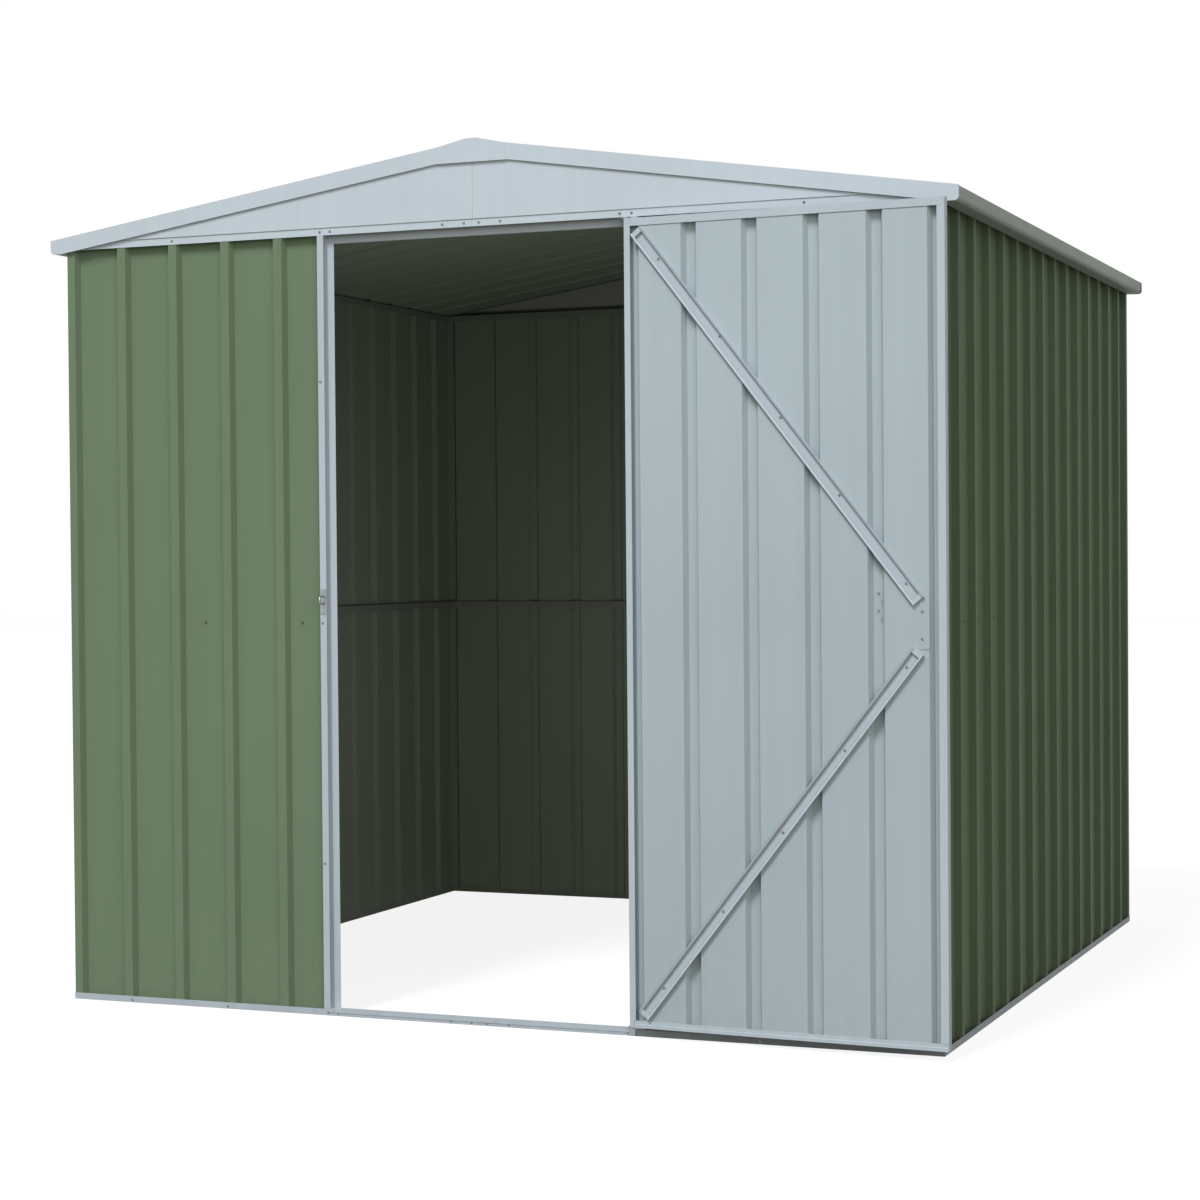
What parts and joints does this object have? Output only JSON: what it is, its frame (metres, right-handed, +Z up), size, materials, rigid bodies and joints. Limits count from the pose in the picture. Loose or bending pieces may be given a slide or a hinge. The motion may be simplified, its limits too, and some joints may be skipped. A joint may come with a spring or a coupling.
{
  "type": "metal storage shed",
  "caption": "Ribbed sheet-metal garden shed with a low pitched roof, folded channel frame and one hinged door standing open",
  "frame": {"origin": "middle of the doorway's threshold, on the underside of the front base channel, halfway along it and halfway across it", "axes": "+Z up; seen facing the doorway from outside, +X to the right and -Y towards the viewer, +Y into the shed"},
  "size_m": [2.346, 2.3124, 2.1013],
  "materials": {
    "silver_steel": "silver-grey baked paint, low sheen",
    "green_steel": "muted green baked paint, low sheen",
    "zinc_steel": "zinc plated"
  },
  "bodies": {
    "shed": {"back_wall_sheet_left": "green_steel", "back_wall_sheet_middle": "green_steel", "back_wall_sheet_right": "green_steel", "barge_back": "silver_steel", "barge_front": "silver_steel", "base_channel_back": "silver_steel", "base_channel_front": "silver_steel", "base_channel_left": "silver_steel", "base_channel_right": "silver_steel", "channel_splices": "silver_steel", "door_header": "silver_steel", "door_jamb_left": "silver_steel", "door_jamb_right": "silver_steel", "door_sill": "silver_steel", "eave_channel_left": "silver_steel", "eave_channel_right": "silver_steel", "front_panel_left": "green_steel", "front_panel_right": "green_steel", "gable_back": "silver_steel", "gable_front": "silver_steel", "hinge_brackets": "zinc_steel", "left_wall_sheet_front": "green_steel", "left_wall_sheet_middle": "green_steel", "left_wall_sheet_rear": "green_steel", "lock_keeper": "zinc_steel", "mid_rail_back": "silver_steel", "mid_rails_front": "silver_steel", "mid_rails_side": "silver_steel", "ridge_cap": "silver_steel", "right_wall_sheet_front": "green_steel", "right_wall_sheet_middle": "green_steel", "right_wall_sheet_rear": "green_steel", "roof_sheets_left": "green_steel", "roof_sheets_right": "green_steel", "top_channel_back": "silver_steel", "top_channel_front": "silver_steel", "top_channel_left": "silver_steel", "top_channel_right": "silver_steel"},
    "door": {"door_bottom_rail": "silver_steel", "door_braces": "silver_steel", "door_hinge_stile": "silver_steel", "door_lock_plate": "zinc_steel", "door_lock_stile": "silver_steel", "door_pivots": "zinc_steel", "door_sheet": "silver_steel", "door_top_rail": "silver_steel"}
  },
  "joints": [
    {"name": "door_hinge", "type": "hinge", "parent": "shed", "child": "door", "pos_m": [0.3882, -0.01485, 0.956], "axis": [0, 0, -1], "range_deg": [0, 176.7]}
  ]
}
